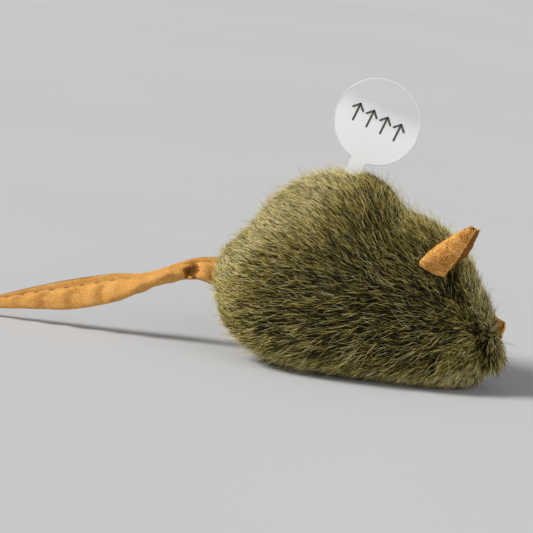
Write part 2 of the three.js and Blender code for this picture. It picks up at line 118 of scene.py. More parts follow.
def triangle_object(name, points, triangles, material_of, materials):
    """A new smooth object of many triangles, quickly. material_of holds each triangle's material."""
    mesh = bpy.data.meshes.new(name)
    count = len(triangles)
    mesh.vertices.add(len(points))
    mesh.vertices.foreach_set("co", points.astype(np.float32).ravel())
    mesh.loops.add(count * 3)
    mesh.loops.foreach_set("vertex_index", triangles.astype(np.int32).ravel())
    mesh.polygons.add(count)
    mesh.polygons.foreach_set("loop_start", np.arange(0, count * 3, 3, dtype=np.int32))
    for material in materials:
        mesh.materials.append(material)
    mesh.polygons.foreach_set("material_index", material_of.astype(np.int32))
    mesh.polygons.foreach_set("use_smooth", np.ones(count, dtype=bool))
    mesh.update(calc_edges=True)
    made = bpy.data.objects.new(name, mesh)
    bpy.context.scene.collection.objects.link(made)
    return made


# ---------------------------------------------------------------- materials


class Nodes:
    """A new material and short ways to add and link its nodes."""

    def __init__(self, name, base, roughness, **sockets):
        self.material = bpy.data.materials.new(name)
        self.material.use_nodes = True
        self.material.diffuse_color = base
        self.tree = self.material.node_tree
        self.shader = self.tree.nodes["Principled BSDF"]
        self.shader.inputs["Base Color"].default_value = base
        self.shader.inputs["Roughness"].default_value = roughness
        for socket, value in sockets.items():
            self.shader.inputs[socket.replace("_", " ")].default_value = value

    def add(self, kind, **values):
        node = self.tree.nodes.new(kind)
        for key, value in values.items():
            if key in node.inputs:
                node.inputs[key].default_value = value
            else:
                setattr(node, key, value)
        return node

    def link(self, source, target):
        self.tree.links.new(source, target)

    def position(self):
        return self.add("ShaderNodeTexCoord").outputs["Object"]

    def noise(self, scale, detail=4.0, roughness=0.6):
        node = self.add("ShaderNodeTexNoise", Scale=scale, Detail=detail, Roughness=roughness)
        self.link(self.position(), node.inputs["Vector"])
        return node.outputs["Fac"]

    def ramp(self, source, stops):
        """A colour ramp over (place, colour) stops."""
        node = self.add("ShaderNodeValToRGB")
        elements = node.color_ramp.elements
        elements[0].position, elements[0].color = stops[0]
        elements[1].position, elements[1].color = stops[-1]
        for place, value in stops[1:-1]:
            elements.new(place).color = value
        self.link(source, node.inputs["Fac"])
        return node.outputs["Color"]

    def bump(self, source, strength, distance):
        node = self.add("ShaderNodeBump", Strength=strength, Distance=distance)
        self.link(source, node.inputs["Height"])
        normal = self.shader.inputs["Normal"]
        if normal.links:
            self.link(normal.links[0].from_socket, node.inputs["Normal"])
        self.link(node.outputs["Normal"], normal)

    def base(self, source):
        self.link(source, self.shader.inputs["Base Color"])

    def roughness(self, source, low, high):
        node = self.add("ShaderNodeMapRange")
        node.inputs["To Min"].default_value = low
        node.inputs["To Max"].default_value = high
        self.link(source, node.inputs["Value"])
        self.link(node.outputs["Result"], self.shader.inputs["Roughness"])


# Colours of the pile, from the roots to the palest tips.
FUR_TONES = [
    (24, 20, 7),
    (43, 36, 13),
    (71, 61, 25),
    (103, 90, 39),
    (140, 125, 56),
    (177, 160, 80),
    (208, 191, 110),
    (232, 220, 164),
]


def fur_materials():
    """One fibre material for each tone of the pile, dark to light, with streaks along the fibres."""
    fibres = []
    for number, tone in enumerate(FUR_TONES):
        made = Nodes(f"fur_fibre_{number}", colour(*tone), 0.5, Specular_IOR_Level=0.2)
        streaks = made.noise(800, 3.0)
        darker = colour(*(0.84 * part for part in tone))
        lighter = colour(*(1.12 * part for part in tone))
        made.base(made.ramp(streaks, [(0.35, darker), (0.65, lighter)]))
        made.roughness(streaks, 0.42, 0.6)
        fibres.append(made.material)
    return fibres


def backing_material():
    made = Nodes("fur_backing", colour(34, 30, 15), 0.95)
    weave = made.noise(900)
    made.base(made.ramp(weave, [(0.3, colour(22, 19, 9)), (0.7, colour(48, 43, 24))]))
    made.bump(weave, 0.6, 0.2 * MM)
    return made.material


def suede_material(name, dark, middle, light, spread=0.07, relief=0.25 * MM):
    """Brushed synthetic suede: soft patches, a fine nap and small dark flecks.

    A small spread gives a strong mottle. relief is the depth of the nap.
    """
    dark, middle, light = (colour(*tone) for tone in (dark, middle, light))
    made = Nodes(name, middle, 0.92, Sheen_Weight=0.3, Sheen_Roughness=0.5)
    made.shader.inputs["Sheen Tint"].default_value = light
    made.shader.inputs["Specular IOR Level"].default_value = 0.15
    patches = made.noise(220, 5.0, 0.65)
    nap = made.noise(2100, 4.0, 0.75)
    share = made.add("ShaderNodeMix", data_type="FLOAT")
    share.inputs["Factor"].default_value = 0.7
    made.link(patches, share.inputs["A"])
    made.link(nap, share.inputs["B"])
    near, far = 0.6 * spread, 2 * spread
    stops = [(0.5 - far, dark), (0.5 - near, middle), (0.5 + near, middle), (0.5 + far, light)]
    made.base(made.ramp(share.outputs["Result"], stops))
    made.bump(nap, 0.9, relief)
    made.bump(patches, 0.4, 0.5 * MM)
    return made.material


def thread_material():
    made = Nodes("stitching", colour(150, 96, 42), 0.7)
    twist = made.noise(4000)
    made.base(made.ramp(twist, [(0.35, colour(116, 70, 28)), (0.65, colour(176, 118, 58))]))
    return made.material


def moulded_material(name, low, high, rough_low, rough_high, grain=1500, depth=0.02 * MM):
    """A moulded or coated solid whose colour and gloss vary a little over its surface."""
    made = Nodes(name, low, rough_low)
    cloud = made.noise(120)
    made.base(made.ramp(cloud, [(0.35, low), (0.65, high)]))
    made.roughness(cloud, rough_low, rough_high)
    made.bump(made.noise(grain), 0.3, depth)
    return made.material


def metal_material(name, low, high, rough_low, rough_high):
    made = Nodes(name, low, rough_low, Metallic=1.0)
    tarnish = made.noise(260, 6.0)
    made.base(made.ramp(tarnish, [(0.3, low), (0.7, high)]))
    made.roughness(tarnish, rough_low, rough_high)
    made.bump(made.noise(1800), 0.15, 0.01 * MM)
    return made.material


def fibre_material():
    made = Nodes("filling_fibre", colour(232, 230, 222), 0.95, Sheen_Weight=0.2)
    strands = made.noise(700, 8.0, 0.8)
    made.base(made.ramp(strands, [(0.3, colour(206, 203, 194)), (0.7, colour(246, 245, 240))]))
    made.bump(strands, 0.8, 0.5 * MM)
    return made.material


def film_material(middle, axis, radius):
    """Clear film with a painted reflection: milky over the lower part of the disc and down the strip."""
    made = Nodes("clear_film", colour(243, 244, 245), 0.12, Coat_Weight=0.5)
    made.shader.inputs["Coat Roughness"].default_value = 0.05
    height = made.add("ShaderNodeVectorMath", operation="DOT_PRODUCT")
    offset = made.add("ShaderNodeVectorMath", operation="SUBTRACT")
    made.link(made.position(), offset.inputs[0])
    offset.inputs[1].default_value = middle
    made.link(offset.outputs["Vector"], height.inputs[0])
    height.inputs[1].default_value = axis
    cloud = made.noise(60, 2.0)
    level = made.add("ShaderNodeMath", operation="MULTIPLY_ADD")
    made.link(cloud, level.inputs[0])
    level.inputs[1].default_value = 0.35 * radius
    made.link(height.outputs["Value"], level.inputs[2])
    # The painted reflection fades with height over the disc's middle, and the cloud makes that change
    # uneven.
    clear = made.add("ShaderNodeMapRange", interpolation_type="SMOOTHSTEP")
    made.link(level.outputs["Value"], clear.inputs["Value"])
    for socket, value in (
        ("From Min", 0.0),
        ("From Max", 0.62 * radius),
        ("To Min", 0.84),
        ("To Max", 0.03),
    ):
        clear.inputs[socket].default_value = value
    made.link(clear.outputs["Result"], made.shader.inputs["Alpha"])
    return made.material


def rim_material():
    """The film's cut edge, which gathers the light."""
    made = Nodes("film_edge", colour(240, 243, 243), 0.2, Alpha=0.5)
    waves = made.noise(500)
    made.base(made.ramp(waves, [(0.35, colour(232, 236, 237)), (0.65, colour(246, 248, 248))]))
    made.roughness(waves, 0.15, 0.35)
    return made.material


def ink_material():
    made = Nodes("printed_mark", colour(72, 66, 60), 0.55)
    speck = made.noise(3000)
    made.base(made.ramp(speck, [(0.3, colour(58, 53, 48)), (0.7, colour(90, 84, 78))]))
    return made.material


# ---------------------------------------------------------------- camera, light and floor


def camera():
    azimuth, elevation, roll = (math.radians(angle) for angle in (12, 10, 6))
    distance = 800 * MM
    field = 165.2 * MM  # width of the picture at that distance
    aim = Vector((-3 * MM, 0, 24.5 * MM))
    beside, above = -25.9 * MM, 7.9 * MM  # how far the picture's middle is from the aim
    back = Vector(
        (
            math.sin(azimuth) * math.cos(elevation),
            -math.cos(azimuth) * math.cos(elevation),
            math.sin(elevation),
        )
    )
    right = Vector((math.cos(azimuth), math.sin(azimuth), 0))
    up = back.cross(right)
    rolled_right = right * math.cos(roll) + up * math.sin(roll)
    rolled_up = up * math.cos(roll) - right * math.sin(roll)
    data = bpy.data.cameras.new("camera")
    data.sensor_width = 36
    data.lens = data.sensor_width * distance / field
    data.clip_end = 20
    made = bpy.data.objects.new("camera", data)
    place = aim + back * distance + rolled_right * beside + rolled_up * above
    made.matrix_world = Matrix(
        [[rolled_right[i], rolled_up[i], back[i], place[i]] for i in range(3)] + [[0, 0, 0, 1]]
    )
    bpy.context.scene.collection.objects.link(made)
    bpy.context.scene.camera = made


def sun(name, direction, strength, softness, tint):
    """A distant lamp shining from the given direction. softness is its apparent size in degrees."""
    data = bpy.data.lights.new(name, "SUN")
    data.energy = strength
    data.angle = math.radians(softness)
    data.color = tint
    made = bpy.data.objects.new(name, data)
    made.rotation_euler = Vector(direction).to_track_quat("Z", "Y").to_euler()
    bpy.context.scene.collection.objects.link(made)


def studio():
    sun("key", (-0.64, -0.40, 0.66), strength=3.2, softness=18, tint=(1.0, 0.985, 0.955))
    sun("fill", (0.70, -0.62, 0.36), strength=1.05, softness=60, tint=(0.98, 0.98, 1.0))
    world = bpy.data.worlds.new("studio")
    world.use_nodes = True
    background = world.node_tree.nodes["Background"]
    background.inputs["Color"].default_value = (0.97, 0.98, 1.0, 1)
    background.inputs["Strength"].default_value = 0.22
    bpy.context.scene.world = world
    bpy.context.scene.view_settings.view_transform = "Standard"


def floor():
    made = Nodes("floor", colour(199, 200, 201), 0.9)
    cloud = made.noise(3, 2.0)
    made.base(made.ramp(cloud, [(0.3, colour(197, 198, 200)), (0.7, colour(201, 202, 204))]))
    reach = 12.0
    corners = [(-reach, -reach, 0), (reach, -reach, 0), (reach, reach, 0), (-reach, reach, 0)]
    plane = mesh_object("floor", corners, [(0, 1, 2, 3)], [made.material])


# ---------------------------------------------------------------- the body's cloth

BACKING_DEPTH = 1.3 * MM  # how far the cloth backing lies under the CAD panels' outer face
BACKING_THICKNESS = 0.9 * MM
BACKING_SOLE = 0.4 * MM  # how far its inner face stays over the lowest point of its outer face
MAPPING_HEIGHT = 0.42  # height of the point that the cloth is mapped from, as a share of the body's height
SEAM_DEPTH = 0.9 * MM
SEAM_WIDTH = 1.6 * MM
# Where the cloth of the face folds in beside the bridge of the nose, on the right; the left mirrors it.
CHEEK_FOLD = MM * np.array(
    [(31.8, -7.5, 34.5), (32.7, -10.4, 29.1), (35.5, -8.7, 26.1), (39.3, -6.9, 21.1), (42.3, -4.6, 12)]
)
EYE_DIMPLE = (32.2 * MM, -9.6 * MM, 31.5 * MM)
EYE_DIMPLE_DEPTH = 3.0 * MM
EYE_DIMPLE_RADIUS = 3.2 * MM
CHEEK_FOLD_DEPTH = 2.2 * MM
CHEEK_FOLD_WIDTH = 1.7 * MM
# Height of the seam round the belly by place along X, both in millimetres.
BELLY_SEAM = [(-45, 13), (-30, 5.5), (-10, 3), (25, 3), (36, 6), (46, 10)]
BELLY_SEAM_WIDTH = 1.5 * MM
MUZZLE_SIZE = (6, 6, 4.5)  # half of the muzzle's bulge along each axis, in millimetres
MUZZLE_REACH = 2.0 * MM
CHIN_TUCK = 1.4 * MM


def from_line(points, line):
    """Each point's distance to a line of straight lengths."""
    best = np.full(len(points), np.inf)
    for start, end in zip(line, line[1:]):
        along = end - start
        share = np.clip((points - start) @ along / (along @ along), 0, 1)
        distance = np.linalg.norm(points - start - share[:, None] * along, axis=1)
        best = np.minimum(best, distance)
    return best


def crease_depth(points):
    """How deep the cloth is drawn in along the fold beside the nose and at the dimple over it."""
    points = on_right(points)
    fold = from_line(points, CHEEK_FOLD) / CHEEK_FOLD_WIDTH
    dimple = np.linalg.norm(points - EYE_DIMPLE, axis=1) / EYE_DIMPLE_RADIUS
    return CHEEK_FOLD_DEPTH * np.exp(-(fold**2)) + EYE_DIMPLE_DEPTH * np.exp(-(dimple**2))


def cloth_relief(points):
    """How far the stuffed cloth stands in from the CAD panels: seams, folds, chin and muzzle."""
    upper = smoothstep(9 * MM, 16 * MM, points[:, 2])
    relief = SEAM_DEPTH * np.exp(-((points[:, 1] / SEAM_WIDTH) ** 2)) * upper
    relief += crease_depth(points)
    seam_x, seam_z = np.array(BELLY_SEAM).T
    seam_level = np.interp(points[:, 0] / MM, seam_x, seam_z) * MM
    belly = (points[:, 2] - seam_level) / BELLY_SEAM_WIDTH
    front = smoothstep(33 * MM, 42 * MM, points[:, 0])
    relief += (0.5 + 1.3 * front) * MM * np.exp(-(belly**2))
    chin = smoothstep(34 * MM, 43 * MM, points[:, 0]) * smoothstep(11 * MM, 5 * MM, points[:, 2])
    relief += CHIN_TUCK * chin
    muzzle = np.linalg.norm((points - NOSE) / MUZZLE_SIZE, axis=1) / MM
    relief -= MUZZLE_REACH * np.exp(-(muzzle**2))
    return relief


def panel_tree():
    """The CAD panels and the filling behind their seams, as one tree to cast rays at."""
    points, faces = [], []
    for name in (*PANELS, "head_filling", "body_filling"):
        mesh = nodes[name].data
        first = len(points)
        points += [vertex.co.copy() for vertex in mesh.vertices]
        faces += [[first + i for i in polygon.vertices] for polygon in mesh.polygons]
    return BVHTree.FromPolygons(points, faces)


def neighbour_lists(bm):
    """Each vertex's neighbours, as indices."""
    return [np.array([edge.other_vert(v).index for edge in v.link_edges]) for v in bm.verts]


def backing_surface():
    """The sewn cloth under the pile, with its seams drawn in.

    Returns its points and triangles, and each point's normal and how deep in a crease it is.
    """
    tree = panel_tree()
    bm = bmesh.new()
    bmesh.ops.create_icosphere(bm, subdivisions=6, radius=1)
    bm.verts.ensure_lookup_table()
    around = neighbour_lists(bm)
    middle = Vector((BODY_MIDDLE[0], 0, MAPPING_HEIGHT * BODY_HIGH[2]))
    directions = [v.co.normalized() for v in bm.verts]
    far = 0.2  # well outside the body
    reach = np.array([(tree.ray_cast(middle + d * far, -d)[0] - middle).length for d in directions])
    # A ray down a seam's gap lands on the filling behind it, so it's held near its neighbours.
    beside = np.array([np.median(reach[ring]) for ring in around])
    reach = np.maximum(reach, beside - 0.3 * MM)
    for _ in range(3):
        beside = np.array([reach[ring].mean() for ring in around])
        reach = 0.5 * reach + 0.5 * beside
    for vertex, direction, distance in zip(bm.verts, directions, reach):
        vertex.co = middle + direction * distance
    bm.normal_update()
    points = np.array([v.co for v in bm.verts])
    normals = np.array([v.normal for v in bm.verts])
    triangles = np.array([[v.index for v in face.verts] for face in bm.faces])
    bm.free()
    crease = crease_depth(points)
    points = points - normals * (BACKING_DEPTH + cloth_relief(points))[:, None]
    points[:, 2] = np.maximum(points[:, 2], BACKING_DEPTH)
    return points, triangles, normals, crease


def panel_of(points):
    """Which panel each point of the body belongs to: 0 right side, 1 left side, 2 belly."""
    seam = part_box("fur_belly")[1].z
    side = (points[:, 1] > 0).astype(int)
    return np.where(points[:, 2] < seam, 2, side)


def backing_pieces(surface, material):
    """The cloth backing of each panel, as a thin sewn shell, with its edge turned in at the seams."""
    points, triangles, normals, _ = surface
    panel = panel_of(points[triangles].mean(axis=1))
    for number, title in enumerate(PANEL_TITLES):
        own = triangles[panel == number]
        used, compact = np.unique(own, return_inverse=True)
        outer = points[used]
        inner = outer - normals[used] * BACKING_THICKNESS
        inner[:, 2] = np.maximum(inner[:, 2], outer[:, 2].min() + BACKING_SOLE)
        compact = compact.reshape(-1, 3)
        faces = closed_shell(compact, len(used))
        made = mesh_object(f"{title}_cloth", np.vstack([outer, inner]), faces, [material])
        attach(made, "body")
        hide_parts(PANELS[number])


def closed_shell(triangles, count):
    """Faces of a skin, its copy count points further on turned round, and the rim between them."""
    edges = np.vstack([triangles[:, [0, 1]], triangles[:, [1, 2]], triangles[:, [2, 0]]])
    known = {tuple(edge) for edge in edges.tolist()}
    rim = [(a, b) for a, b in known if (b, a) not in known]
    faces = triangles.tolist() + (triangles[:, ::-1] + count).tolist()
    return faces + [(b, a, a + count, b + count) for a, b in rim]


# ---------------------------------------------------------------- the pile

STRANDS = 125000
GUARD_HAIRS = 10500
STRAY_SHARE = 0.16  # how many of the guard hairs stand up out of the nap
PALE_SHARE = (0.17, 0.6)  # how many strands are pale, where no light is painted on the coat and where the most is
CLUMPS = 24000  # tufts that neighbouring strands are drawn into
STRANDS_PER_PIECE = 11500  # how many strands go in one piece at most; few enough for each piece's file
PILE_LENGTH = 7.6 * MM
RUMP_TUFT = (-34 * MM, -13 * MM, 5 * MM)  # where the belly's seam ends, and the pile is longest
RUMP_TUFT_RADIUS = 7 * MM
RUMP_TUFT_EXTRA = 3.5 * MM
PAINTED_LIGHT_TOP = 1.6  # top of the scale of painted light on the coat, which starts at 0
STEP_SHARES = (0.38, 0.34, 0.28)  # lengths in one strand, from the root
STEP_WIDTHS = (1.0, 0.95, 0.68)  # shares of the strand's width where each length starts
STEP_TONES = (-1.8, 0.0, 0.6)  # how much lighter each length is than the strand's own tone
STEPS = len(STEP_SHARES)


def drift(points, scale, seed):
    """A smooth field of values from about -1 to 1 over points, the same on each run."""
    rng = np.random.default_rng(seed)
    waves = 9
    total = np.zeros(len(points))
    for _ in range(waves):
        wave = rng.normal(size=3) / scale
        total += np.sin(points @ wave + rng.uniform(0, 2 * math.pi))
    return total / (waves / 2)


def comb_direction(points, normals):
    """Which way the pile lies: away from the nose and up over the back, along the skin."""
    away = unit(points - NOSE - np.array([20 * MM, 0, 2 * MM]))
    height = points[:, 2] / BODY_HIGH[2]
    away[:, 2] += 1.15 * height - 0.28
    away[:, 0] -= 0.25
    # The nap wanders, in broad drifts and in tufts.
    for axis in range(3):
        away[:, axis] += 0.22 * drift(points, 10 * MM, 31 + axis)
        away[:, axis] += 0.09 * drift(points, 3.2 * MM, 41 + axis)
    # The pile parts at the cheek's fold: in front of it, it lies forwards and down.
    fold_x = np.interp(points[:, 2], CHEEK_FOLD[::-1, 2], CHEEK_FOLD[::-1, 0])
    crown = smoothstep(5 * MM, 1 * MM, np.abs(points[:, 1]))
    crown *= smoothstep(19 * MM, 27 * MM, points[:, 2])
    in_front = smoothstep(-0.5 * MM, 2.5 * MM, points[:, 0] - fold_x) * (1 - crown)
    in_front = in_front[:, None]
    forwards = np.tile([0.75, 0.35, -0.6], (len(points), 1))
    forwards[:, 1] *= np.sign(points[:, 1])
    away = away * (1 - in_front) + forwards * in_front
    for axis in range(3):
        away[:, axis] += 0.15 * drift(points, 4 * MM, 46 + axis)
    away -= normals * np.sum(away * normals, axis=1, keepdims=True)
    return unit(away)


def strand_lines(roots, normals, comb, lengths, lifts, rng, jitter):
    """Each strand's points from root to tip: it leaves the skin, then bends over along the nap."""
    lines = [roots]
    wander = rng.normal(scale=jitter, size=roots.shape)
    for step, length_share in enumerate(STEP_SHARES):
        share = step / (STEPS - 1)
        lift = (lifts * (1.25 - 0.85 * share))[:, None]
        heading = normals * lift + comb * (1 - 0.5 * lift) + wander * (0.4 + share)
        heading[:, 2] -= 0.10 * share
        lines.append(lines[-1] + unit(heading) * (lengths * length_share)[:, None])
    return np.stack(lines, axis=1)


def sample_skin(surface, count, rng):
    """Random places on the backing, evenly by area, with their normals and depths in a crease."""
    points, triangles, normals, crease = surface
    corners = points[triangles]
    doubled = np.cross(corners[:, 1] - corners[:, 0], corners[:, 2] - corners[:, 0])
    areas = np.linalg.norm(doubled, axis=1)
    chosen = rng.choice(len(triangles), size=count, p=areas / areas.sum())
    u, v = rng.uniform(size=(2, count))
    over = u + v > 1
    u[over], v[over] = 1 - u[over], 1 - v[over]
    weights = np.stack([1 - u - v, u, v], axis=1)
    places = (points[triangles[chosen]] * weights[:, :, None]).sum(axis=1)
    facing = unit((normals[triangles[chosen]] * weights[:, :, None]).sum(axis=1))
    return places, facing, (crease[triangles[chosen]] * weights).sum(axis=1)


def pile_length(points, crease):
    """Length of the pile: shorter on the face, the rump, under the belly and in creases.

    It is longer again at the muzzle's tip and where the belly's seam ends.
    """
    length = np.full(len(points), PILE_LENGTH)
    length -= 1.2 * MM * smoothstep(28 * MM, 42 * MM, points[:, 0])
    length += 1.8 * MM * smoothstep(41 * MM, 44 * MM, points[:, 0])
    length -= 2.0 * MM * smoothstep(0, -36 * MM, points[:, 0])
    length -= 0.8 * np.minimum(crease, 3.5 * MM)
    under = smoothstep(9 * MM, 2 * MM, points[:, 2])
    length -= 3.0 * MM * under * smoothstep(42 * MM, 32 * MM, points[:, 0])
    from_tuft = np.linalg.norm(on_right(points) - RUMP_TUFT, axis=1)
    return length + RUMP_TUFT_EXTRA * np.exp(-((from_tuft / RUMP_TUFT_RADIUS) ** 2))


def pile_lift(points, rng):
    """How steeply each strand stands: flatter over the rump, steeper at its end and on the muzzle."""
    lift = rng.uniform(0.32, 0.60, size=len(points))
    lift -= 0.1 * smoothstep(0, -30 * MM, points[:, 0]) * smoothstep(20 * MM, 35 * MM, points[:, 2])
    lift += 0.12 * smoothstep(-40 * MM, -45 * MM, points[:, 0])
    return lift + 0.15 * smoothstep(39 * MM, 44 * MM, points[:, 0])


def strand_mesh(lines, widths, normals):
    """Three-sided tapering strands along lines.

    Returns their points, their triangles, and which of the strand's lengths each triangle is in.
    """
    count, stations = lines.shape[:2]
    corners = []
    for station in range(stations - 1):
        heading = unit(lines[:, station + 1] - lines[:, max(station - 1, 0)])
        side = unit(np.cross(heading, normals))
        across = np.cross(heading, side)
        radius = widths * STEP_WIDTHS[station] / 2
        for corner in range(3):
            angle = 2 * math.pi * corner / 3
            offset = side * math.cos(angle) + across * math.sin(angle)
            corners.append(lines[:, station] + offset * radius[:, None])
    corners.append(lines[:, -1])
    points = np.stack(corners, axis=1)
    faces = [(0, 2, 1)]
    owner = [0]
    for station in range(stations - 2):
        for corner in range(3):
            a, b = 3 * station + corner, 3 * station + (corner + 1) % 3
            faces += [(a, b, b + 3), (a, b + 3, a + 3)]
            owner += [station, station]
    last = 3 * (stations - 2)
    for corner in range(3):
        faces.append((last + corner, last + (corner + 1) % 3, last + 3))
        owner.append(stations - 2)
    first = (np.arange(count) * points.shape[1])[:, None, None]
    return points.reshape(-1, 3), np.array(faces)[None] + first, np.array(owner)


def keep_above_floor(lines, rng):
    """Lifts each strand's points to a small height of its own, so the underside isn't cut flat."""
    lowest = rng.uniform(0.25 * MM, 1.3 * MM, size=len(lines))
    lines[:, :, 2] = np.maximum(lines[:, :, 2], lowest[:, None])
    return lines


def draw_into_clumps(lines, roots, surface, rng):
    """Pulls strands towards the line of the nearest tuft, more at the tip than at the root."""
    centres, normals, crease = sample_skin(surface, CLUMPS, rng)
    comb = comb_direction(centres, normals)
    lifts = pile_lift(centres, rng)
    lengths = pile_length(centres, crease) * rng.uniform(0.8, 1.15, size=CLUMPS)
    leaders = strand_lines(centres, normals, comb, lengths, lifts, rng, jitter=0.2)
    tree = KDTree(CLUMPS)
    for index, centre in enumerate(centres):
        tree.insert(centre, index)
    tree.balance()
    own = np.array([tree.find(root)[1] for root in roots])
    pull = rng.uniform(0.15, 0.5, size=len(roots))
    for station in range(1, STEPS + 1):
        share = pull * (station / STEPS) ** 1.2
        lines[:, station] += (leaders[own, station] - lines[:, station]) * share[:, None]
    return lines, own


def painted_light_of(roots, normals):
    """Painted light on the coat's tone, from 0 on the flanks to the top of its scale on the back of the
    rump.
    """
    x, y, z = roots.T
    # Painted highlight: the tone is lighter where the surface turns up and back towards the key lamp, and
    # along the outline.
    turned = smoothstep(1, 0.7, np.abs(normals[:, 1]))
    up_and_back = smoothstep(0, 0.9, 0.8 * normals[:, 2] - 0.6 * normals[:, 0])
    painted_light = turned * (0.2 + 0.8 * up_and_back)
    # More painted light on the hump, the rump, the face and the brow, and along the underside, which the
    # floor shades.
    hump = smoothstep(27 * MM, 44 * MM, z) * smoothstep(5 * MM, -13 * MM, x)
    rump = 0.65 * smoothstep(-14 * MM, -38 * MM, x)
    painted_underside_light = (1.1 + 0.3 * smoothstep(-5 * MM, 20 * MM, x)) * smoothstep(12 * MM, 3 * MM, z)
    face = 0.75 * smoothstep(28 * MM, 37 * MM, x) + 0.4 * smoothstep(40 * MM, 46 * MM, x)
    brow = smoothstep(10 * MM, 4 * MM, np.abs(y)) * smoothstep(22 * MM, 29 * MM, x)
    brow *= 0.65 * smoothstep(15 * MM, 21 * MM, z)
    return np.minimum(painted_light + hump + rump + painted_underside_light + face + brow, PAINTED_LIGHT_TOP)


def tone_of(roots, crease, own, pale, painted_light, rng):
    """Each strand's tone, as a place in the list of fur materials.

    Strands of a tuft share a tone, the tone is painted darker in a crease as painted shade and
    lighter where light is painted on, and pale strands are some tones lighter than the rest.
    """
    tuft = np.random.default_rng(SEED + 5).normal(size=CLUMPS)[own]
    lightness = 0.15 + 0.35 * drift(roots, 11 * MM, 51) + 0.5 * tuft
    # Painted shade: the pile is darker in a crease and over the eye's dimple, more so higher up, towards
    # the eye.
    towards_eye = smoothstep(10 * MM, 22 * MM, roots[:, 2])
    painted_crease_shade = np.minimum(crease / (1.8 * MM), 1.9) * (0.4 + 0.6 * towards_eye)
    lightness += 0.4 * painted_light - 0.8 * painted_crease_shade + rng.normal(scale=0.5, size=len(roots))
    return lightness + (3.2 + 1.8 * painted_light - 1.6 * painted_crease_shade) * pale


def pile_pieces(surface, materials):
    """The fur itself: strands by the ten thousand, in pieces that each belong to one panel."""
    rng = np.random.default_rng(SEED)
    count = STRANDS
    roots, normals, crease = sample_skin(surface, count, rng)
    comb = comb_direction(roots, normals)
    # Painted light: where it is painted on, the tone is lighter and more of the strands are pale.
    painted_light = painted_light_of(roots, normals)
    pale = rng.uniform(size=count) < np.interp(painted_light, (0, PAINTED_LIGHT_TOP), PALE_SHARE)
    lengths = pile_length(roots, crease) * (rng.uniform(0.72, 1.1, size=count) + 0.1 * pale)
    lines = strand_lines(roots, normals, comb, lengths, pile_lift(roots, rng), rng, jitter=0.13)
    lines, own = draw_into_clumps(lines, roots, surface, rng)
    widths = (rng.uniform(0.15, 0.27, size=count) - 0.05 * pale) * MM
    tones = tone_of(roots, crease, own, pale, painted_light, rng)
    add_strands("pile", roots, normals, keep_above_floor(lines, rng), widths, tones, materials)


def guard_hair_pieces(surface, materials):
    """Fine, pale, longer hairs that stand out of the pile."""
    rng = np.random.default_rng(SEED + 1)
    roots, normals, crease = sample_skin(surface, GUARD_HAIRS, rng)
    comb = comb_direction(roots, normals)
    stray = rng.uniform(size=GUARD_HAIRS) < STRAY_SHARE
    lengths = pile_length(roots, crease) * (rng.uniform(0.95, 1.4, size=GUARD_HAIRS) + 0.25 * stray)
    lifts = rng.uniform(0.4, 0.8, size=GUARD_HAIRS) + 0.35 * stray
    lines = strand_lines(roots, normals, comb, lengths, lifts, rng, jitter=0.25)
    widths = (rng.uniform(0.08, 0.13, size=GUARD_HAIRS) - 0.02 * stray) * MM
    tones = rng.uniform(4.6, 7.0, size=GUARD_HAIRS)
    lines = keep_above_floor(lines, rng)
    add_strands("guard_hair", roots, normals, lines, widths, tones, materials)


def add_strands(kind, roots, normals, lines, widths, tones, materials):
    """Makes strands into pieces that each belong to one panel."""
    panel = panel_of(roots)
    for number, title in enumerate(PANEL_TITLES):
        members = np.flatnonzero(panel == number)
        parts = max(1, math.ceil(len(members) / STRANDS_PER_PIECE))
        for part, chosen in enumerate(np.array_split(members, parts)):
            points, faces, owner = strand_mesh(lines[chosen], widths[chosen], normals[chosen])
            step_tone = tones[chosen][:, None] + np.array(STEP_TONES)[owner][None, :]
            shade = np.clip(np.round(step_tone), 0, len(materials) - 1)
            name = f"{title}_{kind}_{part + 1}" if parts > 1 else f"{title}_{kind}"
            made = triangle_object(name, points, faces.reshape(-1, 3), shade.ravel(), materials)
            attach(made, "body")


# ---------------------------------------------------------------- sheets of suede


def grid_normals(points):
    """Unit normals of a grid of points."""
    along = np.gradient(points, axis=0)
    across = np.gradient(points, axis=1)
    return unit(np.cross(along, across))


def grid_faces(rows, columns, first, turned):
    """Four-sided faces of a grid whose points start at first."""
    faces = []
    for i in range(rows - 1):
        for j in range(columns - 1):
            a = first + i * columns + j
            face = (a, a + 1, a + columns + 1, a + columns)
            faces.append(face[::-1] if turned else face)
    return faces


def thick_sheet(points, half):
    """Points and faces of a closed sheet round a grid of middle points. half is half its thickness."""
    rows, columns = points.shape[:2]
    normals = grid_normals(points)
    both = np.concatenate([points + normals * half[..., None], points - normals * half[..., None]])
    count = rows * columns
    faces = grid_faces(rows, columns, 0, True) + grid_faces(rows, columns, count, False)
    rim = [i * columns for i in range(rows)]
    rim += [(rows - 1) * columns + j for j in range(1, columns)]
    rim += [i * columns + columns - 1 for i in range(rows - 2, -1, -1)]
    rim += range(columns - 2, 0, -1)
    for a, b in zip(rim, rim[1:] + rim[:1]):
        faces.append((a, b, b + count, a + count))
    return both.reshape(-1, 3), faces


def half_thickness(shape, thickness):
    """Half of a sheet's thickness over its grid: less towards its edges, so that they are rounded."""
    share = np.ones(shape)
    for depth, thinner in enumerate((0.45, 0.8, 0.95)):
        for edge in (depth, -1 - depth):
            share[edge] = np.minimum(share[edge], thinner)
            share[:, edge] = np.minimum(share[:, edge], thinner)
    return thickness / 2 * share


# ---------------------------------------------------------------- the tail

